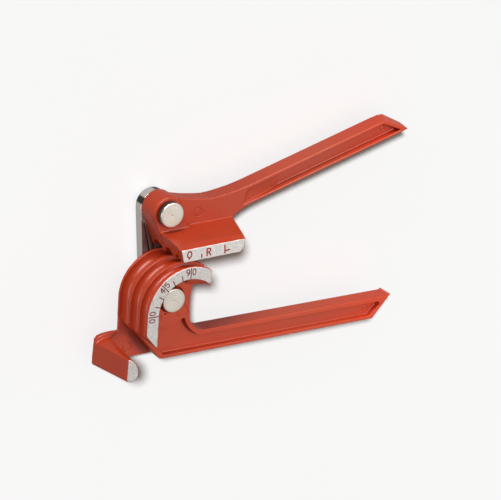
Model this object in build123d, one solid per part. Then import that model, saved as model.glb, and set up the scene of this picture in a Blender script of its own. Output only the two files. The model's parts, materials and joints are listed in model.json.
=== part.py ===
from build123d import *
import math
import os

# Three-size hand tube bender (1/4, 5/16 and 3/8 inch tube), lying on its back.
# Frame: +Z is the direction of the pivot axes, X runs along the lower handle,
# the origin is on the die pivot axis at the resting plane. Millimetres.

# ---------------------------------------------------------------- dimensions
H = 42.2                  # resting plane to the bare face of the angle scale
R_FLANGE = 25.8           # outer radius of the die flanges
R_CLR = 25.4              # bend radius of the tube centreline (1 inch)
R_IN = 18.5               # inner radius of the scale band
TUBE_R = (3.20, 3.99, 4.79)        # groove radii: 1/4, 5/16, 3/8 inch tube
GROOVE_Z = (-5.40, -15.20, -26.60) # groove centres below the scale face
DIE_DEPTH = 33.0          # total depth of the die, scale face to its back
FLOOR_Z = -22.0           # floor of the handle panel
RIM_Z = -18.5             # face of the die web and, flush with it, of the handle rims
COUNTERBORE_R = 7.95      # recess of the web around the pin head
HANDLE_BACK_Z = -29.4     # back of the lower handle
RIM_W = 1.9               # width of the lower rim of the handle
RIM_TOP = 3.0             # width of its upper rim
PANEL_BACK = 3.3          # depth of the panel on the back of a handle
Y_TOP, Y_BOT = -22.2, -35.3        # lower handle, top and bottom edge
TIP_X, TIP_X_LOW = 153.2, 140.8    # lower handle, slanted end
WEB_RIGHT = 12.3          # right edge of the die web

LINK_L = 50.8             # distance between the two pivots (2 inch)
LINK_ANGLE = 94.7         # direction of the link at rest, degrees from +X
LINK_T = 6.35             # link plate thickness
LINK_HALF = 9.4           # half width of the link and radius of its ends
LINK_END = 0.9            # how far the upper end arc is centred below its pin
RIM_RIGHT = 12.3          # right edge of the rim beside the pivot
WASHER_T = 1.0            # spacer washer between a casting and the link
WASHER_R = 8.6

PIN_R = 4.75              # pivot pin shank
PIN_FIT = 0.05            # radial running clearance of the castings
HEAD_R = 7.1              # pin head radius
HEAD_Z = -15.7            # face of both pin heads
HEAD_T = 4.3              # head height
TAIL_R = 6.2              # peened tail
TAIL_T = 1.85

SHOE_TILT = 2.0           # direction of the shoe grooves at rest, degrees
ARM_Z = -22.4             # front face of the upper arm
HUB_Z = HEAD_Z - HEAD_T   # face of the hub under the pin head
ARM_BACK_Z = -32.9        # its back face
ARM_PANEL = 4.2           # depth of the channel in the upper arm

LINK_FRONT = -DIE_DEPTH - WASHER_T
LINK_BACK = LINK_FRONT - LINK_T
PX = LINK_L * math.cos(math.radians(LINK_ANGLE))
PY = LINK_L * math.sin(math.radians(LINK_ANGLE))

UP = (0, 0, 1)


# ------------------------------------------------------------------- helpers
def prism(pts, z_low, z_high, radius=None):
    """Closed outline pulled up from z_low to z_high (both below the scale face)."""
    sk = make_face(Polyline(*pts, close=True))
    if radius:
        for corner, r in radius:
            v = min(sk.vertices(), key=lambda q: (q.X - corner[0]) ** 2 + (q.Y - corner[1]) ** 2)
            sk = fillet([v], r)
    return extrude(Pos(0, 0, H + z_low) * sk, amount=z_high - z_low, dir=UP)


def section(pts, z):
    return Pos(0, 0, H + z) * make_face(Polyline(*pts, close=True))


def disc(x, y, r, z_low, z_high):
    return Pos(x, y, H + (z_low + z_high) / 2) * Cylinder(r, z_high - z_low)


def line_y(p, q, x):
    return p[1] + (q[1] - p[1]) * (x - p[0]) / (q[0] - p[0])


# ------------------------------------------------------------ lower casting
# Scale band: quarter-and-more ring, straight tail below the zero mark with a
# diagonal end, and a hook past the ninety mark.
TAIL_LOW = (-18.3, -19.9)
DIAG_TOP = (-R_FLANGE, -11.0)
DIAG_BOT = (-5.4, Y_BOT)
HOOK_X = 13.6


def band(z_low, z_high, r_in=R_IN):
    a0 = math.radians(180)
    a1 = math.acos(HOOK_X / R_FLANGE)
    a2 = math.acos(HOOK_X / r_in) if r_in > HOOK_X else 0.0
    am, bm = (a0 + a1) / 2, (a0 + a2) / 2
    outer = ThreePointArc((-R_FLANGE, 0), (R_FLANGE * math.cos(am), R_FLANGE * math.sin(am)),
                          (R_FLANGE * math.cos(a1), R_FLANGE * math.sin(a1)))
    end = Line(outer @ 1, (r_in * math.cos(a2), r_in * math.sin(a2)))
    inner = ThreePointArc(end @ 1, (r_in * math.cos(bm), r_in * math.sin(bm)), (-r_in, 0))
    t_in = Line((-r_in, 0), (-r_in, TAIL_LOW[1]))
    diag = Line((-r_in, TAIL_LOW[1]), DIAG_TOP)
    t_out = Line(DIAG_TOP, (-R_FLANGE, 0))
    sk = make_face([outer, end, inner, t_in, diag, t_out])
    for corner, r in (((R_FLANGE * math.cos(a1), R_FLANGE * math.sin(a1)), 2.2),
                      ((r_in * math.cos(a2), r_in * math.sin(a2)), 1.2),
                      (DIAG_TOP, 1.2), ((-r_in, TAIL_LOW[1]), 0.8)):
        v = min(sk.vertices(), key=lambda q: (q.X - corner[0]) ** 2 + (q.Y - corner[1]) ** 2)
        sk = fillet([v], r)
    return extrude(Pos(0, 0, H + z_low) * sk, amount=z_high - z_low, dir=UP)


lower = band(-DIE_DEPTH, 0.0)

# Web of the die with the body corner that runs into the handle.
web_pts = [(-24.0, 2.0), (-21.5, 11.0), (-14.0, 18.0), (-4.0, 21.0), (6.0, 19.5), (11.0, 16.5), (12.9, 12.5), (13.3, 8.5),
           (12.85, 5.8), (12.3, 2.7), (12.0, -1.6), (11.9, -6.0), (WEB_RIGHT, -10.9), (WEB_RIGHT, Y_TOP), (40.0, Y_TOP),
           (40.0, Y_BOT), DIAG_BOT, (-23.8, -13.4)]
web = prism(web_pts, -DIE_DEPTH, RIM_Z, radius=[((WEB_RIGHT, Y_TOP), 11.0), (DIAG_BOT, 1.5)])
lower += web

# Handle: slanted end, rims in front and behind, panel between them.
handle = prism([(10.0, Y_BOT), (TIP_X_LOW, Y_BOT), (TIP_X, Y_TOP + 1.0), (TIP_X - 1.2, Y_TOP), (10.0, Y_TOP)],
               HANDLE_BACK_Z, RIM_Z)
lower += handle

s = RIM_W
diag_dir = (DIAG_BOT[0] - DIAG_TOP[0], DIAG_BOT[1] - DIAG_TOP[1])
dl = math.hypot(*diag_dir)
nx, ny = -diag_dir[1] / dl, diag_dir[0] / dl         # inward normal of the diagonal
# Inner outline of the panel: the upper rim curves up into the web, and the
# round edge of the web closes the panel towards the scale band.
curl = [(21.0, Y_TOP - RIM_TOP), (18.5, -24.6), (16.2, -23.1), (14.2, -21.4), (12.4, -19.4), (10.9, -17.3), (9.95, -15.3),
        (9.5, -13.8), (9.1, -13.1), (8.4, -12.8), (7.6, -13.1), (6.9, -13.9), (5.6, -14.9), (4.0, -15.95), (1.1, -17.35),
        (-2.2, -17.4), (-6.5, -16.3), (-10.5, -14.0), (-13.8, -10.8), (-16.3, -7.0)]
pan_l = (DIAG_BOT[0] + 1.0 + nx * s, Y_BOT + s)
slant = (TIP_X - TIP_X_LOW, Y_TOP + 1.0 - Y_BOT)
sl = math.hypot(*slant)
ox, oy = -slant[1] / sl * s * 1.25, slant[0] / sl * s * 1.25
tip_in_low = (TIP_X_LOW + ox - 0.2, Y_BOT + s)
tip_in_high = (TIP_X_LOW + ox + (Y_TOP - RIM_TOP - Y_BOT) * slant[0] / slant[1], Y_TOP - RIM_TOP)
panel = prism([pan_l, tip_in_low, tip_in_high] + curl + [(-17.4, -6.5), (-17.4, -19.0),
               (TAIL_LOW[0] + 1.6 + nx * 0.3, TAIL_LOW[1] + 0.2)],
              FLOOR_Z, 1.0, radius=[(tip_in_low, 1.5), (tip_in_high, 1.5)])
lower -= panel - band(-DIE_DEPTH - 1, 2.0)
# Counterbore of the web around the head of the pivot pin.
lower -= disc(0, 0, COUNTERBORE_R, HUB_Z, 2.0)
# Lip inside the hook: slopes back from the edge of the band to a straight end.
lower += loft([section([(-1.0, 19.2), (4.0, 18.9), (9.0, 17.1), (13.5, 13.8), (13.4, 13.0), (9.0, 16.1), (4.2, 17.95),
                        (-1.0, 18.4)], -0.25),
               section([(-1.0, 19.2), (4.0, 18.9), (9.0, 17.1), (13.5, 13.8), (13.4, 12.9), (8.0, 13.2), (3.6, 13.3),
                        (-1.0, 15.2)], -4.0)], ruled=True)
lower += prism([(-1.0, 19.2), (4.0, 18.9), (9.0, 17.1), (13.5, 13.8), (13.4, 12.9), (8.0, 13.2), (3.6, 13.3),
                (-1.0, 15.2)], RIM_Z - 1.0, -4.0)
# Panel on the back of the handle.
lower -= prism([(44.0, Y_BOT + s), (tip_in_low[0], Y_BOT + s), tip_in_high, (44.0, Y_TOP - RIM_TOP)],
               HANDLE_BACK_Z - 8.0, HANDLE_BACK_Z + PANEL_BACK,
               radius=[(tip_in_low, 1.5), (tip_in_high, 1.5)])
# The back of the body steps up to the back of the handle beside the web.
wedge = make_face(Polyline((WEB_RIGHT - 3.0, H - DIE_DEPTH - 1.0), (60.0, H - DIE_DEPTH - 1.0), (60.0, H + HANDLE_BACK_Z),
                           (WEB_RIGHT + 0.5, H + HANDLE_BACK_Z), (WEB_RIGHT - 3.0, H - DIE_DEPTH), close=True))
lower -= extrude(Plane.XZ * wedge, amount=60.0, both=True) & Pos(0, -60.0, 0) * Box(400, 100.0, 400)

# Tube grooves: half round, tangent straight run down the tail.
for r, gz in zip(TUBE_R, GROOVE_Z):
    ring = revolve(Plane.XZ * Pos(R_CLR, H + gz) * Circle(r), axis=Axis.Z, revolution_arc=150.0)
    ring = Rot(0, 0, 30.0) * ring
    run = Pos(-R_CLR, -15.0, H + gz) * (Rot(90, 0, 0) * Cylinder(r, 30.0))
    lower -= ring
    lower -= run & prism([(-40, 0.5), (-10, 0.5), (-10, -30), (-40, -30)], -40, 3)

# Anvil: base plate behind the tube line and a D-section post with a flat
# outer face, rounded towards the die.
PLATE_FRONT = -31.6
PLATE_BACK = -33.8
PAD_FRONT = -31.1
plate = prism([(-12.0, -8.0), (-25.2, -8.0), (-25.2, -20.1), (-30.3, -19.9), (-35.0, -20.3), (-38.05, -21.2), (-39.5, -23.0),
               (-40.4, -36.9), (-4.0, -36.9), (0.0, -33.5)], PLATE_BACK, PLATE_FRONT, radius=[((-40.4, -36.9), 2.5)])
# The plate is a little thicker around the foot of the post.
plate += prism([(-26.9, -20.04), (-30.3, -19.9), (-35.0, -20.3), (-38.05, -21.2), (-39.5, -23.0), (-39.6, -26.0),
                (-33.0, -27.0), (-30.9, -25.0), (-30.2, -23.2), (-28.4, -21.7), (-27.1, -20.6)], PLATE_BACK, PAD_FRONT)
lower += plate
lower += prism([(-16.0, -10.0), (-22.0, -16.0), (-5.0, Y_BOT + 0.1), (6.0, Y_BOT + 0.1), (6.0, -13.0)],
               PLATE_BACK + 0.01, -32.0)


def d_section(p0, p1, pts, z):
    sk = make_face([Line(p0, p1), Spline(p1, *pts, p0)])
    return Pos(0, 0, H + z) * sk


sec_back = d_section((-39.5, -24.9), (-40.3, -37.0), [(-39.6, -38.5), (-38.2, -39.4), (-34.6, -39.0), (-32.0, -37.0),
                                                      (-30.9, -33.0), (-30.6, -29.6), (-30.5, -25.4), (-31.1, -23.1),
                                                      (-33.2, -22.6), (-36.4, -23.3)], PLATE_BACK)
sec_mid = d_section((-39.5, -24.9), (-40.15, -36.9), [(-39.4, -38.3), (-37.9, -39.1), (-34.6, -38.7), (-32.0, -36.8),
                                                      (-30.9, -33.0), (-30.6, -29.6), (-30.5, -25.4), (-31.1, -23.1),
                                                      (-33.2, -22.6), (-36.4, -23.3)], PLATE_FRONT)
sec_front = d_section((-36.25, -22.6), (-36.7, -35.1), [(-36.1, -35.7), (-34.9, -36.1), (-33.0, -36.1), (-31.2, -35.5),
                                                        (-29.95, -34.0), (-29.6, -31.0), (-29.9, -29.1), (-31.0, -26.4),
                                                        (-32.8, -24.1), (-34.9, -22.7)], 0.0)
lower += loft([sec_back, sec_mid], ruled=True)
lower += loft([sec_mid, sec_front], ruled=True)

# Round ejector marks left by the die-casting mould.
def ejector(x, y, r, z):
    ring = disc(x, y, r, z - 0.22, z + 0.3) - disc(x, y, r - 0.32, z - 1.0, z + 1.0)
    return ring


for x, y, r, z in ((7.6, -8.5, 3.4, RIM_Z), (-8.1, -10.2, 2.35, RIM_Z),
                   (137.1, -28.7, 1.7, FLOOR_Z), (-19.3, -31.0, 2.9, PLATE_FRONT)):
    lower -= ejector(x, y, r, z)
lower -= disc(-3.5, -8.5, 0.6, RIM_Z - 0.9, RIM_Z + 0.1)

# Pivot bore.
lower -= disc(0, 0, PIN_R + PIN_FIT, -45.0, 2.0)

# ------------------------------------------------------------ upper casting
ct, st = math.cos(math.radians(SHOE_TILT)), math.sin(math.radians(SHOE_TILT))


def sh(x, y):
    """Point in the plane of the shoe: x along its grooves, y up from its lower edge."""
    return (-5.2 + x * ct - y * st, 28.7 + x * st + y * ct)


# Front face, bevel, sloping top surface and block of the shoe.
SHOE_0 = [(-7.1, 36.1), (-5.1, 28.7), (30.8, 29.95), (33.3, 32.6), (33.6, 37.6), (15.0, 36.95)]
SHOE_1 = [(-7.5, 37.1), (-5.2, 28.7), (31.0, 29.95), (33.7, 32.8), (33.9, 39.0), (15.5, 39.1)]
SHOE_2 = [(-8.2, 40.0), (-5.3, 28.7), (32.2, 30.0), (36.8, 34.2), (39.0, 41.65), (16.0, 40.85)]
BEVEL_Z = -3.0
upper = loft([section(SHOE_1, BEVEL_Z), section(SHOE_0, 0.0)], ruled=True)
upper += loft([section(SHOE_2, ARM_Z), section(SHOE_1, BEVEL_Z)], ruled=True)
upper += prism(SHOE_2, -DIE_DEPTH, ARM_Z)

# Hub and arm.
arm_pts = [(2.7, 57.55), (10.2, 56.05), (18.0, 55.05), (23.2, 54.65), (28.7, 55.15), (34.2, 56.05), (40.2, 57.15),
           (47.7, 59.05), (136.3, 86.45), (139.3, 86.7), (156.5, 80.55), (154.6, 79.75), (64.2, 52.25), (53.6, 48.95),
           (48.8, 47.25), (44.6, 45.35), (41.4, 43.45), (39.0, 41.65), (34.0, 36.0), (0.0, 34.0), (-7.6, 36.0)]
upper += prism(arm_pts, ARM_BACK_Z, ARM_Z)
upper += prism([(1.5, 52.0), (20.0, 47.0), (36.0, 41.0), (34.0, 36.0), (-5.0, 36.0)], -DIE_DEPTH, ARM_Z)
# The slanted end of the arm leans outwards towards the back.
upper += loft([section([(131.2, 84.85), (140.6, 87.6), (144.3, 87.75), (158.2, 81.2), (154.6, 79.75), (141.2, 75.95)],
                       ARM_BACK_Z),
               section([(131.2, 84.85), (136.3, 86.45), (139.3, 86.7), (156.5, 80.55), (154.6, 79.75), (141.2, 75.95)],
                       ARM_Z)], ruled=True)
HUB_R = 9.5
HUB_R_FRONT = 8.75


def tangent_line(radius, foot):
    gap = math.hypot(foot[0] - PX, foot[1] - PY)
    turn = math.atan2(foot[1] - PY, foot[0] - PX) - math.acos(radius / gap)
    return [(PX + radius * math.cos(turn), PY + radius * math.sin(turn)), foot]


wall_back = tangent_line(HUB_R, (-5.3, 28.75)) + [(12.5, 32.0), (10.4, 40.9), (8.1, 42.8), (6.9, 45.5), (6.0, 48.9),
                                                  (5.0, 51.6), (PX, PY)]
wall_front = tangent_line(HUB_R_FRONT, (-4.5, 28.75)) + [(12.0, 32.0), (9.9, 40.6), (7.6, 42.6), (6.5, 45.3), (5.6, 48.7),
                                                         (4.4, 51.6), (PX, PY)]
upper += prism(wall_back, -DIE_DEPTH, ARM_Z)
upper += disc(PX, PY, HUB_R, -DIE_DEPTH, ARM_Z)
# The step from the arm to the face of the hub leans in.
upper += loft([section(wall_back, ARM_Z), section(wall_front, HUB_Z)], ruled=True)
upper += Pos(PX, PY, H + (ARM_Z + HUB_Z) / 2) * Cone(HUB_R, HUB_R_FRONT, HUB_Z - ARM_Z)
# Blend between the hub top and the arm top.
upper += prism([(PX + 2.5, PY + 9.1), (2.9, 57.5), (2.9, 50.0), (PX, PY)], ARM_BACK_Z, ARM_Z)

# Channel in the front of the arm and a panel on its back.
# The floor of the channel ramps down from the face of the hub end.
ch = [(44.8, 47.87), (151.5, 80.27), (148.6, 81.37), (138.4, 84.97), (47.7, 56.57)]
ramp = make_face(Polyline((43.7, H + ARM_Z + 0.02), (70.0, H + ARM_Z - ARM_PANEL),
                          (180.0, H + ARM_Z - ARM_PANEL), (180.0, H + 5.0), (43.7, H + 5.0), close=True))
ramp = extrude(Plane.XZ * ramp, amount=150.0, both=True)
upper -= prism(ch, ARM_Z - ARM_PANEL, 5.0, radius=[((138.4, 84.97), 1.5)]) & ramp
upper -= prism([(59.2, 53.07), (148.2, 80.07), (138.6, 85.07), (59.2, 60.47)], -60.0, ARM_BACK_Z + 2.8,
               radius=[((59.2, 53.07), 1.5), ((59.2, 60.47), 1.5)])
for x, y, r, z in ((16.3, 47.57, 2.6, ARM_Z), (140.8, 81.37, 1.6, ARM_Z - ARM_PANEL)):
    upper -= ejector(x, y, r, z)

# Grooves of the shoe, matched to the die.
for r, gz in zip(TUBE_R, GROOVE_Z):
    g = Pos(0, -0.4, H + gz) * (Rot(0, 90, 0) * Cylinder(r, 120.0))
    upper -= Pos(-5.2, 28.7, 0) * (Rot(0, 0, SHOE_TILT) * g)
upper -= disc(PX, PY, PIN_R + PIN_FIT, -45.0, 2.0)

# --------------------------------------------------------------- small parts
la = LINK_ANGLE
link_len = LINK_L - LINK_END
link = extrude(Pos(PX * link_len / LINK_L / 2, PY * link_len / LINK_L / 2, H + LINK_BACK)
               * (Rot(0, 0, la) * SlotCenterToCenter(link_len, 2 * LINK_HALF)), amount=LINK_T, dir=UP)
link -= disc(0, 0, PIN_R, -45.0, 2.0)
link -= disc(PX, PY, PIN_R, -45.0, 2.0)


def pin(x, y):
    shank = disc(x, y, PIN_R, LINK_BACK, HEAD_Z - 1.0)
    head = disc(x, y, HEAD_R, HEAD_Z - HEAD_T, HEAD_Z)
    top = head.faces().sort_by(Axis.Z)[-1]
    head = chamfer(top.edges(), 0.45)
    tail = disc(x, y, TAIL_R, LINK_BACK - TAIL_T, LINK_BACK)
    low = tail.faces().sort_by(Axis.Z)[0]
    tail = chamfer(low.edges(), 1.0)
    return shank + head + tail


def washer(x, y):
    return disc(x, y, WASHER_R, LINK_FRONT, LINK_FRONT + WASHER_T) - disc(x, y, PIN_R + 0.1, -45.0, 2.0)


parts = {
    "die_handle_casting": lower,
    "shoe_handle_casting": upper,
    "link_plate": link,
    "die_pivot_pin": pin(0, 0),
    "handle_pivot_pin": pin(PX, PY),
    "die_spacer_washer": washer(0, 0),
    "handle_spacer_washer": washer(PX, PY),
}

os.makedirs("parts", exist_ok=True)
for name, shape in parts.items():
    solids = shape.solids()
    if len(solids) == 1:
        shape = solids[0]
    export_step(shape, "parts/" + name + ".step")
    print(name, len(solids), round(shape.volume, 1))
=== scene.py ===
import json
import math

import bmesh
import bpy
from mathutils import Matrix, Vector


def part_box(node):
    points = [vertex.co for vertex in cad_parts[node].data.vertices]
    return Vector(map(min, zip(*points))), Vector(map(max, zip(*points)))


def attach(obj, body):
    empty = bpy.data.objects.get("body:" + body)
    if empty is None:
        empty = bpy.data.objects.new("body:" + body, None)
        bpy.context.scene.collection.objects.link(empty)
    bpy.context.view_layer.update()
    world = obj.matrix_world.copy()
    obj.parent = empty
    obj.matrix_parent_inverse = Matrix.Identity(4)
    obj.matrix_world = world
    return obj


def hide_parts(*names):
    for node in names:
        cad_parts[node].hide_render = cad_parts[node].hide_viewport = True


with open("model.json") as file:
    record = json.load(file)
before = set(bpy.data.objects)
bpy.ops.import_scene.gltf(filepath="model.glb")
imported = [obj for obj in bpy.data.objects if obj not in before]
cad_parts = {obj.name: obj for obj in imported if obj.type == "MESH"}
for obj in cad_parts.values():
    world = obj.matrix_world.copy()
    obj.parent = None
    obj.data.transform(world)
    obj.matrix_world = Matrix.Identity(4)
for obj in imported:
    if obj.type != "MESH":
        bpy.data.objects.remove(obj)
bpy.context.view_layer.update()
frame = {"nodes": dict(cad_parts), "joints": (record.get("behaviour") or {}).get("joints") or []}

nodes = frame["nodes"]
scene = bpy.context.scene
MM = 0.001

# ------------------------------------------------------------------ positions
FACE_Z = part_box("die_handle_casting")[1].z / MM          # plane of the bare machined faces
PIVOTS = {}
for j in frame["joints"]:
    PIVOTS[j["name"]] = (j["pos_m"][0] / MM, j["pos_m"][1] / MM)
PX, PY = PIVOTS["handle_pivot"]
R_IN, R_OUT = 18.5, 25.8                                 # scale band


# -------------------------------------------------------------- mesh helpers
def mesh_mm(name):
    """Copy of a CAD node's mesh in millimetres, its split vertices joined."""
    bm = bmesh.new()
    bm.from_mesh(nodes[name].data)
    bmesh.ops.remove_doubles(bm, verts=bm.verts, dist=1e-6)
    bmesh.ops.scale(bm, vec=(1 / MM,) * 3, verts=bm.verts)
    bmesh.ops.recalc_face_normals(bm, faces=bm.faces)
    me = bpy.data.meshes.new(name + "_copy")
    bm.to_mesh(me)
    bm.free()
    return me


def through(me, mods):
    """The mesh after these modifiers."""
    ob = bpy.data.objects.new("work", me)
    scene.collection.objects.link(ob)
    for kind, values in mods:
        m = ob.modifiers.new(kind, kind)
        for key, value in values.items():
            setattr(m, key, value)
    dg = bpy.context.evaluated_depsgraph_get()
    dg.update()
    out = bpy.data.meshes.new_from_object(ob.evaluated_get(dg))
    bpy.data.objects.remove(ob)
    bpy.data.meshes.remove(me)
    return out


def piece(name, me, body, mat, replaces=(), flat_top=False):
    """A new object from a mesh in millimetres, riding on a body. A flat top keeps its own even shading."""
    me.name = name
    me.transform(Matrix.Scale(MM, 4))
    for a in [a.name for a in me.attributes if a.name.startswith(("custom", "sharp"))]:
        me.attributes.remove(me.attributes[a])
    level = max(v.co.z for v in me.vertices) - 0.002 * MM if flat_top else None
    me.polygons.foreach_set("use_smooth", [not (flat_top and all(me.vertices[i].co.z > level for i in p.vertices))
                                           for p in me.polygons])
    me.materials.clear()
    me.materials.append(mat)
    me.update()
    ob = bpy.data.objects.new(name, me)
    scene.collection.objects.link(ob)
    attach(ob, body)
    if replaces:
        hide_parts(*replaces)
    return ob


def cast_mesh(node, voxel, rounds, keep):
    """The casting with the soft edges and fillets of a moulded surface; the machined faces stay flat."""
    me = through(mesh_mm(node), [("REMESH", dict(mode="VOXEL", voxel_size=voxel, adaptivity=0.0)),
                                 ("SMOOTH", dict(factor=0.5, iterations=rounds))])
    for v in me.vertices:
        if v.co.z > FACE_Z - 0.03:
            v.co.z = FACE_Z
    return through(me, [("DECIMATE", dict(decimate_type="COLLAPSE", ratio=keep, use_collapse_triangulate=True))])


# ----------------------------------------------------------- material helper
class Nodes:
    def __init__(self, name):
        self.mat = bpy.data.materials.new(name)
        self.mat.use_nodes = True
        self.t = self.mat.node_tree
        self.p = self.t.nodes["Principled BSDF"]
        tc = self.t.nodes.new("ShaderNodeTexCoord")
        self.obj = tc.outputs["Object"]

    def link(self, a, b):
        if isinstance(a, (int, float)):
            b.default_value = a
        elif isinstance(a, (tuple, list)):
            b.default_value = tuple(a) if len(a) == len(b.default_value) else tuple(a) + (1.0,)
        else:
            self.t.links.new(a, b)

    def math(self, op, a, b=0.0, c=0.0, clamp=False):
        n = self.t.nodes.new("ShaderNodeMath")
        n.operation = op
        n.use_clamp = clamp
        for v, i in ((a, 0), (b, 1), (c, 2)):
            self.link(v, n.inputs[i])
        return n.outputs[0]

    def vmath(self, op, a, b=(0, 0, 0)):
        n = self.t.nodes.new("ShaderNodeVectorMath")
        n.operation = op
        self.link(a, n.inputs[0])
        self.link(b, n.inputs[1])
        return n.outputs["Value"] if op in ("LENGTH", "DISTANCE", "DOT_PRODUCT") else n.outputs[0]

    def sep(self, v):
        n = self.t.nodes.new("ShaderNodeSeparateXYZ")
        self.link(v, n.inputs[0])
        return n.outputs

    def mapped(self, scale=(1, 1, 1), turn=0.0, move=(0, 0, 0)):
        n = self.t.nodes.new("ShaderNodeMapping")
        n.inputs["Scale"].default_value = scale
        n.inputs["Rotation"].default_value = (0, 0, turn)
        n.inputs["Location"].default_value = move
        self.link(self.obj, n.inputs["Vector"])
        return n.outputs[0]

    def noise(self, scale, detail=3.0, rough=0.5, vector=None):
        n = self.t.nodes.new("ShaderNodeTexNoise")
        n.inputs["Scale"].default_value = scale
        n.inputs["Detail"].default_value = detail
        n.inputs["Roughness"].default_value = rough
        self.link(vector if vector is not None else self.obj, n.inputs["Vector"])
        return n.outputs["Fac"]

    def remap(self, v, a, b, c=0.0, d=1.0, smooth=False):
        n = self.t.nodes.new("ShaderNodeMapRange")
        if smooth:
            n.interpolation_type = "SMOOTHSTEP"
        n.clamp = True
        for x, i in zip((v, a, b, c, d), range(5)):
            self.link(x, n.inputs[i])
        return n.outputs[0]

    def mix(self, f, a, b):
        n = self.t.nodes.new("ShaderNodeMix")
        n.data_type = "RGBA"
        self.link(f, n.inputs["Factor"])
        self.link(a, n.inputs[6])
        self.link(b, n.inputs[7])
        return n.outputs[2]

    def mixf(self, f, a, b):
        n = self.t.nodes.new("ShaderNodeMix")
        n.data_type = "FLOAT"
        self.link(f, n.inputs[0])
        self.link(a, n.inputs[2])
        self.link(b, n.inputs[3])
        return n.outputs[0]

    def near_walls(self, distance, inside):
        """How much of the space around a point is closed in by the piece itself: 0 on open faces. Inside the
        material this marks the convex edges, outside it marks the hollow corners; the enamel paints highlight and shade
        with it."""
        n = self.t.nodes.new("ShaderNodeAmbientOcclusion")
        n.samples = 8
        n.inside = inside
        n.only_local = True
        n.inputs["Distance"].default_value = distance
        return self.math("SUBTRACT", 1.0, n.outputs["AO"])

    def bump(self, height, distance, strength=1.0, normal=None):
        n = self.t.nodes.new("ShaderNodeBump")
        n.inputs["Distance"].default_value = distance
        n.inputs["Strength"].default_value = strength
        self.link(height, n.inputs["Height"])
        if normal is not None:
            self.link(normal, n.inputs["Normal"])
        return n.outputs[0]

    def set(self, **kw):
        for key, v in kw.items():
            self.link(v, self.p.inputs[key.replace("_", " ")])
        return self.mat


# ---------------------------------------------------------------- materials
RED_A = (0.532, 0.050, 0.0125)
RED_B = (0.492, 0.044, 0.0105)


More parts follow.
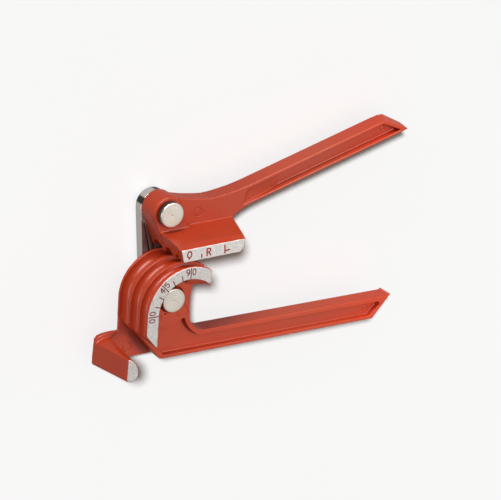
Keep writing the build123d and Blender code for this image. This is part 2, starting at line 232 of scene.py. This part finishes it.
def enamel(name, rings, grain_turn, bright=1.0, along=240.0, painted_shade_ramp=(0.0, 1.0, 1.0, 1.0), grip=RED_B):
    """Red enamel on a die casting. The faces in the plane of the scale are machined bare,
    and rings of the moulding ejectors show through the paint. The red is darkened towards the head end as painted
    shade, where the shade ramp argument holds x, tone, x, tone, and it changes to the colour grip along the handle.
    Hollow corners get painted shade and convex edges a painted highlight."""
    m = Nodes(name)
    x, y, z = m.sep(m.obj)
    peel = m.noise(620.0, 2.0, 0.45)
    cloud = m.noise(55.0, 3.0, 0.5)
    fine = m.noise(2600.0, 2.0, 0.6)
    wob = m.noise(900.0, 2.0, 0.5)
    zz = m.math("ADD", z, m.math("MULTIPLY", m.math("SUBTRACT", wob, 0.5), 0.00005))
    bare = m.remap(zz, (FACE_Z - 0.075) * MM, (FACE_Z - 0.045) * MM)
    # paint
    red = m.mix(m.remap(cloud, 0.3, 0.7), RED_A, RED_B)
    red = m.mix(m.remap(x, 25.0 * MM, 90.0 * MM), red, grip)
    red = m.mix(m.remap(x, 100.0 * MM, 138.0 * MM), red, (0.570, 0.049, 0.013))
    # Painted shade: the red is mixed towards black at the head end, as the shade ramp argument sets.
    red = m.mix(m.remap(x, painted_shade_ramp[0] * MM, painted_shade_ramp[2] * MM, 1.0 - painted_shade_ramp[1], 1.0 - painted_shade_ramp[3]), red, (0.0, 0.0, 0.0))
    red = m.mix(m.math("MULTIPLY", m.remap(fine, 0.66, 0.8), 0.35), red, (0.30, 0.022, 0.010))
    tips = m.remap(x, 105.0 * MM, 130.0 * MM, 1.0, 0.25)        # the painted shade and highlight fade out towards the sharp ends of the handles
    # Painted shade in the hollow corners and a painted pink highlight along the convex edges, both from the piece's own
    # occlusion.
    painted_corner_shade = m.math("MULTIPLY", m.remap(m.near_walls(0.0024, False), 0.26, 0.72, 0.0, 0.62), tips)
    edge_for_painted_light = m.math("MULTIPLY", m.remap(m.near_walls(0.0005, True), 0.22, 0.50, 0.0, 0.62), tips)
    red = m.mix(painted_corner_shade, red, (0.150, 0.014, 0.009))
    red = m.mix(edge_for_painted_light, red, (0.95, 0.40, 0.31))
    # machined metal: grey zinc with the fine lines of the cutter and small pits
    line = m.noise(1.0, 3.0, 0.65, m.mapped((2600.0, along, 200.0), grain_turn))
    cross = m.noise(1.0, 2.0, 0.6, m.mapped((along * 1.25, 2500.0, 200.0), grain_turn + 0.1))
    grain = m.math("ADD", m.math("MULTIPLY", line, 0.6), m.math("MULTIPLY", cross, 0.4))
    metal = m.mix(m.remap(grain, 0.30, 0.68), tuple(0.44 * bright * c for c in (1.0, 0.968, 0.950)),
                  tuple(0.765 * bright * c for c in (1.0, 0.977, 0.960)))
    pits = m.remap(m.noise(1500.0, 1.0, 0.5), 0.70, 0.78)
    metal = m.mix(m.math("MULTIPLY", pits, 0.6), metal, (0.28, 0.20, 0.17))
    marks = []
    for cx, cy, r, zf in rings:
        d = m.vmath("LENGTH", m.vmath("MULTIPLY", m.vmath("SUBTRACT", m.obj, (cx * MM, cy * MM, 0)), (1, 1, 0)))
        ring = m.remap(m.math("ABSOLUTE", m.math("SUBTRACT", d, r * MM)), 0.0, 0.00030, 1.0, 0.0, smooth=True)
        near = m.remap(m.math("ABSOLUTE", m.math("SUBTRACT", z, zf * MM)), 0.0009, 0.0013, 1.0, 0.0)
        marks.append(m.math("MULTIPLY", ring, near))
        red = m.mix(m.math("MULTIPLY", marks[-1], 0.42), red, (0.16, 0.016, 0.010))
    colour = m.mix(bare, red, metal)
    rough = m.mixf(bare, m.remap(peel, 0.2, 0.8, 0.27, 0.38), m.remap(grain, 0.3, 0.7, 0.36, 0.52))
    metallic = m.math("MULTIPLY", bare, 0.85)
    height = m.math("ADD", m.math("MULTIPLY", peel, 0.5), m.math("MULTIPLY", fine, 0.03))
    height = m.mixf(bare, height, m.math("MULTIPLY", grain, 0.35))
    for mark in marks:
        height = m.math("SUBTRACT", height, m.math("MULTIPLY", mark, 6.0))
    m.set(Base_Color=colour, Metallic=metallic, Roughness=rough,
          Normal=m.bump(height, 0.00005, 0.5), IOR=1.5)
    m.p.inputs["Coat Weight"].default_value = 0.0
    return m.mat


def turned(name, cx, cy, face_z, tint, dot=True):
    """Turned steel: faint rings round the axis, a speckled satin face with a painted reflection pattern, a painted
    shade ring at its rim and painted shade down the side of the head.
    """
    m = Nodes(name)
    z = m.sep(m.obj)[2]
    d = m.vmath("LENGTH", m.vmath("MULTIPLY", m.vmath("SUBTRACT", m.obj, (cx * MM, cy * MM, 0)), (1, 1, 0)))
    comb = m.t.nodes.new("ShaderNodeCombineXYZ")
    m.link(m.math("MULTIPLY", d, 2600.0), comb.inputs[0])
    m.link(m.math("MULTIPLY", z, 300.0), comb.inputs[1])
    rings = m.noise(1.0, 2.0, 0.6, comb.outputs[0])
    speck = m.noise(1700.0, 2.0, 0.55)
    cloud = m.noise(160.0, 2.0, 0.5)
    col = m.mix(m.remap(speck, 0.42, 0.64), tint, tuple(0.80 * c for c in tint))
    col = m.mix(m.math("MULTIPLY", m.remap(cloud, 0.35, 0.7), 0.25), col, tuple(0.80 * c for c in tint))
    rel = m.sep(m.vmath("SUBTRACT", m.obj, (cx * MM, cy * MM, 0)))
    # Painted reflection: the face is darkened in a bow-tie pattern round the axis, for the shine of its turned rings.
    painted_sheen = m.math("COSINE", m.math("MULTIPLY", m.math("SUBTRACT", m.math("ARCTAN2", rel[1], rel[0]), 0.9), 2.0))
    col = m.mix(m.remap(painted_sheen, -1.0, 1.0, 0.22, 0.0), col, tuple(0.62 * c for c in tint))
    col = m.mix(m.remap(rings, 0.35, 0.75, 0.0, 0.30), col, tuple(0.62 * c for c in tint))
    # Painted shade: a darker ring just inside the head's rounded rim, for the reflection of its chamfer.
    painted_edge_ring = m.remap(m.math("ABSOLUTE", m.math("SUBTRACT", d, 0.0060)), 0.0001, 0.0003, 0.45, 0.0)
    col = m.mix(painted_edge_ring, col, tuple(0.5 * c for c in tint))
    # Painted shade and reflection: below its top rim the head's side is darkened almost to black, for the contact
    # shadow and the reflections there.
    low = m.remap(z, (face_z - 3.4) * MM, (face_z - 2.9) * MM, 0.9, 0.0)
    side = m.remap(z, (face_z - 1.1) * MM, (face_z - 0.7) * MM, 0.88, 0.0)
    col = m.mix(m.math("MAXIMUM", low, side), col, (0.06, 0.035, 0.03))
    front = m.remap(z, (face_z - 0.35) * MM, (face_z - 0.10) * MM)
    rough = m.mixf(front, 0.14, m.remap(rings, 0.2, 0.8, 0.33, 0.47))
    height = m.math("ADD", m.math("MULTIPLY", rings, 0.5), m.math("MULTIPLY", speck, 0.3))
    m.set(Base_Color=col, Metallic=1.0, Roughness=rough, Normal=m.bump(height, 0.00004, 0.5))
    return m.mat


def bar_steel(name):
    """Bright flat bar: fine lengthwise grain, polished round end with painted near-black reflection bands, and painted
    shade and red reflection on the front face between the castings.
    """
    m = Nodes(name)
    ang = math.atan2(PY, PX)
    grain = m.noise(1.0, 3.0, 0.6, m.mapped((260.0, 3200.0, 3200.0), -ang))
    spot = m.noise(420.0, 3.0, 0.6)
    col = m.mix(m.remap(grain, 0.3, 0.7), (0.60, 0.56, 0.53), (0.74, 0.695, 0.66))
    col = m.mix(m.math("MULTIPLY", m.remap(spot, 0.55, 0.75), 0.3), col, (0.42, 0.41, 0.40))
    rel = m.sep(m.vmath("SUBTRACT", m.obj, (PX * MM, PY * MM, 0)))
    th = m.math("ARCTAN2", rel[1], rel[0])
    rad = m.vmath("LENGTH", m.vmath("MULTIPLY", m.vmath("SUBTRACT", m.obj, (PX * MM, PY * MM, 0)), (1, 1, 0)))
    edge_for_painted_light = m.remap(rad, 0.0078, 0.0084)

    def window(a, b, soft):
        lo = m.remap(th, math.radians(a - soft), math.radians(a + soft), smooth=True)
        hi = m.remap(th, math.radians(b - soft), math.radians(b + soft), 1.0, 0.0, smooth=True)
        return m.math("MULTIPLY", lo, hi)

    # Painted reflection: near-black bands on the rim of the round end stand in for the surroundings seen in the polish.
    painted_reflection_bands = m.math("MAXIMUM", window(146.0, 172.0, 4.0), window(66.0, 92.0, 5.0))
    painted_reflection_bands = m.math("MULTIPLY", painted_reflection_bands, edge_for_painted_light)
    col = m.mix(m.math("MULTIPLY", painted_reflection_bands, 0.96), col, (0.012, 0.012, 0.012))
    # Painted shade and reflection: where the link's front face shows near the shoe hub it is deep red-brown, for the
    # shade in the gap and the red castings it reflects.
    face = m.remap(m.sep(m.obj)[2], (FACE_Z - 34.25) * MM, (FACE_Z - 34.1) * MM)
    painted_gap_shade = m.math("MULTIPLY", face, m.remap(rad, 0.0105, 0.0125))
    col = m.mix(m.math("MULTIPLY", painted_gap_shade, 0.92), col, (0.115, 0.032, 0.026))
    rough = m.mixf(painted_reflection_bands, m.remap(grain, 0.2, 0.8, 0.17, 0.28), 0.2)
    rough = m.mixf(painted_gap_shade, rough, 0.55)
    m.set(Base_Color=col, Metallic=m.mixf(painted_gap_shade, 0.62, 0.15), Roughness=rough, Normal=m.bump(grain, 0.00001, 0.4))
    return m.mat


def stamped(name):
    m = Nodes(name)
    g = m.noise(900.0, 3.0, 0.6)
    col = m.mix(m.remap(g, 0.3, 0.7), (0.36, 0.35, 0.34), (0.52, 0.51, 0.50))
    m.set(Base_Color=col, Metallic=1.0, Roughness=m.remap(g, 0.2, 0.8, 0.32, 0.5), Normal=m.bump(g, 0.00003, 0.5))
    return m.mat


def ink(name, tone=1.0):
    """Dark red filling of the engraved marks."""
    m = Nodes(name)
    g = m.noise(1400.0, 2.0, 0.6)
    col = m.mix(m.remap(g, 0.3, 0.75), (0.175 * tone, 0.012 * tone, 0.007 * tone),
                (0.105 * tone, 0.009 * tone, 0.006 * tone))
    m.set(Base_Color=col, Roughness=m.remap(g, 0.2, 0.8, 0.5, 0.7), Normal=m.bump(g, 0.00003, 0.4))
    return m.mat


FLOOR_Z = FACE_Z - 22.0
WEB_Z = FACE_Z - 18.5
# The (x, tone, x, tone) tuple in each enamel call sets its painted shade towards the head end.
die_mat = enamel("enamel_die", [(7.6, -8.5, 3.25, WEB_Z), (-8.1, -10.2, 2.2, WEB_Z), (137.1, -28.7, 1.55, FLOOR_Z),
                                (-19.3, -31.0, 2.75, FACE_Z - 31.6)], 0.75, 1.0, 300.0,
                 (-26.0, 0.79, 4.0, 1.0), (0.495, 0.057, 0.019))
shoe_mat = enamel("enamel_shoe", [(16.3, 47.57, 2.45, FACE_Z - 22.4), (140.8, 81.37, 1.45, FACE_Z - 26.6)], 0.6, 1.15, 900.0, (30.0, 0.75, 75.0, 0.93),
                  (0.490, 0.066, 0.028))
link_mat = bar_steel("link_bar")
pin_mats = {"die_pivot_pin": turned("pin_die", 0.0, 0.0, FACE_Z - 15.7, (0.86, 0.82, 0.745)),
            "handle_pivot_pin": turned("pin_handle", PX, PY, FACE_Z - 15.7, (0.88, 0.84, 0.76))}
washer_mat = stamped("washer_steel")
ink_mat = ink("mark_filling")
shoe_ink_mat = ink("mark_filling_shoe", 1.9)

# ------------------------------------------------------------- the castings
V = 0.32
die = piece("die_handle_cast", cast_mesh("die_handle_casting", V, 2, 0.26), "die_body",
            die_mat, ["die_handle_casting"], True)
shoe = piece("shoe_handle_cast", cast_mesh("shoe_handle_casting", V, 2, 0.26), "shoe_body",
             shoe_mat, ["shoe_handle_casting"], True)

# --------------------------------------------------------------- link plate
link_me = through(mesh_mm("link_plate"), [("BEVEL", dict(width=0.5, segments=4, limit_method="ANGLE",
                                                         angle_limit=math.radians(40), use_clamp_overlap=True))])
bar = piece("link_bar", link_me, "link_body", link_mat, ["link_plate"])


# --------------------------------------------------------------------- pins
def lathe(profile, cx, cy, turns=112):
    """Closed solid of revolution about the vertical through (cx, cy). The profile runs from axis to axis."""
    bm = bmesh.new()
    rows = []
    for r, z in profile:
        if r < 1e-6:
            rows.append([bm.verts.new((cx, cy, z))])
        else:
            rows.append([bm.verts.new((cx + r * math.cos(2 * math.pi * i / turns),
                                       cy + r * math.sin(2 * math.pi * i / turns), z)) for i in range(turns)])
    for a, b in zip(rows, rows[1:]):
        for i in range(turns):
            k = (i + 1) % turns
            vs = [a[i % len(a)], b[i % len(b)], b[k % len(b)], a[k % len(a)]]
            seen = []
            for v in vs:
                if v not in seen:
                    seen.append(v)
            if len(seen) > 2:
                bm.faces.new(seen)
    bmesh.ops.recalc_face_normals(bm, faces=bm.faces)
    me = bpy.data.meshes.new("lathe")
    bm.to_mesh(me)
    bm.free()
    return me


def arc(cx, cz, r, a0, a1, n):
    return [(cx + r * math.cos(math.radians(a0 + (a1 - a0) * i / n)),
             cz + r * math.sin(math.radians(a0 + (a1 - a0) * i / n))) for i in range(n + 1)]


def pin_profile(node):
    lo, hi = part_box(node)
    z0, z1 = lo.z / MM, hi.z / MM
    hub = z1 - 4.3
    p = [(0.0, z1 - 0.32), (0.14, z1 - 0.30), (0.34, z1 - 0.08), (0.46, z1 - 0.03), (0.62, z1 - 0.03)]
    p += [(2.0, z1), (4.5, z1), (6.2, z1 - 0.02)]
    p += arc(6.48, z1 - 0.62, 0.60, 86, 20, 6)
    p += [(7.1, z1 - 0.95), (7.1, z1 - 1.3), (7.02, z1 - 1.42), (7.02, z1 - 1.62), (7.1, z1 - 1.75), (7.1, hub + 0.95)]
    p += arc(6.85, hub + 0.85, 0.25, 0, -80, 3)
    p += [(6.0, hub + 0.55), (5.9, hub), (4.75, hub - 0.02), (4.75, z0 + 1.85), (6.05, z0 + 1.84)]
    p += arc(5.75, z0 + 1.35, 0.45, 75, -20, 5)
    p += [(5.7, z0 + 0.62), (4.8, z0 + 0.22), (3.2, z0 + 0.04), (1.6, z0), (1.0, z0), (0.75, z0 + 0.12), (0.0, z0 + 0.16)]
    return p


for node, (cx, cy) in (("die_pivot_pin", (0.0, 0.0)), ("handle_pivot_pin", (PX, PY))):
    piece(node + "_turned", lathe(pin_profile(node), cx, cy), "link_body", pin_mats[node], [node])

# ------------------------------------------------------------------ washers
for node, (cx, cy), body in (("die_spacer_washer", (0.0, 0.0), "die_body"),
                             ("handle_spacer_washer", (PX, PY), "link_body")):
    me = through(mesh_mm(node), [("BEVEL", dict(width=0.16, segments=2, limit_method="ANGLE",
                                               angle_limit=math.radians(40), use_clamp_overlap=True))])
    piece(node + "_stamped", me, body, washer_mat, [node])


# -------------------------------------------------------------------- marks
def ellipse(cx, cy, rx, ry, n=22, a0=0.0, a1=360.0):
    return [(cx + rx * math.cos(math.radians(a0 + (a1 - a0) * i / n)),
             cy + ry * math.sin(math.radians(a0 + (a1 - a0) * i / n))) for i in range(n + 1)]


GLYPHS = {
    "0": [ellipse(0, 0, 0.26, 0.46)],
    "4": [[(0.13, -0.48), (0.13, 0.48), (-0.27, -0.18), (0.30, -0.18)]],
    "5": [[(0.24, 0.46), (-0.18, 0.46), (-0.22, 0.08)] + ellipse(0.0, -0.16, 0.27, 0.30, 12, 125, -140)],
    "9": [ellipse(0, 0.19, 0.25, 0.27), [(0.25, 0.16), (0.23, -0.12), (0.12, -0.34), (-0.06, -0.47)]],
}


def strokes(lines, width, z_low, z_high, voxel=0.06):
    """Solid strokes of round-ended pen lines, joined into one skin."""
    bm = bmesh.new()
    h = width / 2

    def prism(pts):
        low = [bm.verts.new((x, y, z_low)) for x, y in pts]
        top = [bm.verts.new((x, y, z_high)) for x, y in pts]
        bm.faces.new(low[::-1])
        bm.faces.new(top)
        for i in range(len(pts)):
            k = (i + 1) % len(pts)
            bm.faces.new([low[i], low[k], top[k], top[i]])

    for line in lines:
        for (ax, ay), (bx, by) in zip(line, line[1:]):
            a = math.atan2(by - ay, bx - ax)
            pts = [(bx + h * math.cos(a + math.radians(t)), by + h * math.sin(a + math.radians(t)))
                   for t in range(-90, 91, 20)]
            pts += [(ax - h * math.cos(a + math.radians(t)), ay - h * math.sin(a + math.radians(t)))
                    for t in range(-90, 91, 20)]
            prism(pts)
    me = bpy.data.meshes.new("strokes")
    bm.to_mesh(me)
    bm.free()
    return through(me, [("REMESH", dict(mode="VOXEL", voxel_size=voxel, adaptivity=0.0)),
                        ("DECIMATE", dict(decimate_type="COLLAPSE", ratio=0.25, use_collapse_triangulate=True))])


def place(lines, x, y, size, ux, uy):
    """Glyph lines at (x, y) with their up direction along (ux, uy)."""
    return [[(x + size * (px * uy + py * ux), y + size * (-px * ux + py * uy)) for px, py in line] for line in lines]


dial = []
for a in (0, 15, 30, 45, 60, 75, 90):
    c, s = math.cos(math.radians(a)), math.sin(math.radians(a))
    full = a in (0, 45, 90)
    r0, r1 = (R_IN + 0.35, 25.0) if full else (R_IN + 0.3, 21.9)
    dial.append([(-r0 * c, r0 * s), (-r1 * c, r1 * s)])
    if full:
        for ch, side in zip({0: "00", 45: "45", 90: "90"}[a], (-1, 1)):
            tx, ty = s, c                                  # reading direction
            off = side * (2.15 if a == 0 else 1.95)
            gx, gy = -22.8 * c + off * tx, 22.8 * s + off * ty
            dial += place(GLYPHS[ch], gx, gy, 3.7, -c, s)
piece("scale_marks", strokes(dial, 0.66, FACE_Z - 0.25, FACE_Z + 0.02), "die_body", ink_mat)

t = math.radians(2.0)
UX, UY = -math.sin(t), math.cos(t)
label = [ellipse(-1.7, 33.15, 1.30, 1.80), [(-1.7, 31.4), (-1.73, 30.7)], [(6.0, 32.3), (5.9, 30.5)]]
label += [[(9.35, 31.0), (9.15, 35.0), (10.6, 35.05), (11.5, 34.5), (11.45, 33.6), (10.6, 33.1), (9.3, 33.05)],
          [(10.4, 33.05), (11.6, 31.3)]]
label += [[(20.4, 35.5), (20.75, 31.0)], [(20.62, 32.3), (23.5, 32.55)]]
piece("shoe_marks", strokes(label, 0.96, FACE_Z - 0.25, FACE_Z + 0.02), "shoe_body", shoe_ink_mat)

# --------------------------------------------------------------------- floor
fm = Nodes("floor_paper")
fg = fm.noise(6.0, 3.0, 0.5)
lp = fm.t.nodes.new("ShaderNodeLightPath")
paper = fm.mix(fm.remap(fg, 0.3, 0.7), (0.884, 0.890, 0.892), (0.894, 0.900, 0.902))
bounce = fm.mix(lp.outputs["Is Glossy Ray"], (0.34, 0.34, 0.34), (0.36, 0.345, 0.34))
fm.set(Base_Color=fm.mix(lp.outputs["Is Camera Ray"], bounce, paper), Roughness=0.95)
fm.p.inputs["Specular IOR Level"].default_value = 0.1
fbm = bmesh.new()
bmesh.ops.create_grid(fbm, x_segments=8, y_segments=8, size=6.0)
fme = bpy.data.meshes.new("floor")
fbm.to_mesh(fme)
fbm.free()
fme.materials.append(fm.mat)
floor = bpy.data.objects.new("floor", fme)
scene.collection.objects.link(floor)

# -------------------------------------------------------------------- lights
world = bpy.data.worlds.new("studio") if scene.world is None else scene.world
scene.world = world
world.use_nodes = True
bg = world.node_tree.nodes["Background"]
bg.inputs["Color"].default_value = (1.0, 0.86, 0.76, 1.0)
bg.inputs["Strength"].default_value = 0.21


def aim(ob, target):
    d = Vector(target) - ob.location
    ob.rotation_euler = d.to_track_quat("-Z", "Y").to_euler()


def sun(name, direction, strength, angle, colour=(1, 1, 1)):
    l = bpy.data.lights.new(name, "SUN")
    l.color = colour
    l.energy = strength
    l.angle = angle
    ob = bpy.data.objects.new(name, l)
    ob.location = Vector(direction)
    scene.collection.objects.link(ob)
    aim(ob, (0, 0, 0))
    return ob


def area(name, loc, target, size, power, colour=(1, 1, 1), size_y=None):
    l = bpy.data.lights.new(name, "AREA")
    l.energy = power
    l.color = colour
    l.shape = "RECTANGLE"
    l.size = size
    l.size_y = size_y or size
    ob = bpy.data.objects.new(name, l)
    ob.location = loc
    scene.collection.objects.link(ob)
    aim(ob, target)
    return ob


def only(light, name, objects):
    """The light falls only on these objects."""
    col = bpy.data.collections.new(name)
    for o in objects:
        col.objects.link(o)
    light.light_linking.receiver_collection = col


tool = [o for o in scene.objects if o.type == "MESH" and o is not floor]
only(sun("floor_key", (-0.70, 0.575, 1.0), 3.625, 0.13, (0.989, 1.014, 1.028)), "lit_floor", [floor])
only(sun("tool_front", (0.26, 0.20, 1.0), 1.80, 0.35), "lit_tool_a", tool)
only(area("tool_top", (-0.48, 1.10, 0.42), (0.05, 0.02, 0.02), 0.9, 14.5, (1.0, 0.99, 0.97), 0.40), "lit_tool_b", tool)
only(area("tool_left", (-1.15, -0.10, 0.20), (0.0, 0.0, 0.02), 0.7, 2.9, (1.0, 0.985, 0.97), 0.22), "lit_tool_e", tool)
only(area("edge_strip", (0.57, 0.60, 0.84), (0.05, 0.02, 0.02), 0.5, 1.5, (1.0, 0.985, 0.97), 0.25), "lit_tool_d", tool)
only(area("front_card", (0.56, -0.38, 0.84), (0.05, 0.02, 0.03), 0.75, 0.8, (1.0, 0.985, 0.96), 0.6), "lit_tool_c", tool)

# -------------------------------------------------------------------- camera
cam = bpy.data.cameras.new("camera")
cam.sensor_fit = "HORIZONTAL"
cam.sensor_width = 36.0
cam.lens = 134.147
cam.clip_start = 0.05
cam.clip_end = 20.0
cam_ob = bpy.data.objects.new("camera", cam)
scene.collection.objects.link(cam_ob)
cam_ob.matrix_world = Matrix(((0.84115722, 0.13615574, -0.52336998, -0.49847205),
                              (0.06987736, 0.93230881, 0.35484846, 0.39350584),
                              (0.53625710, -0.33505506, 0.77470409, 0.83531482),
                              (0.0, 0.0, 0.0, 1.0)))
scene.camera = cam_ob

scene.view_settings.view_transform = "Standard"
scene.view_settings.look = "None"
scene.view_settings.exposure = 0.0
scene.view_settings.gamma = 1.0
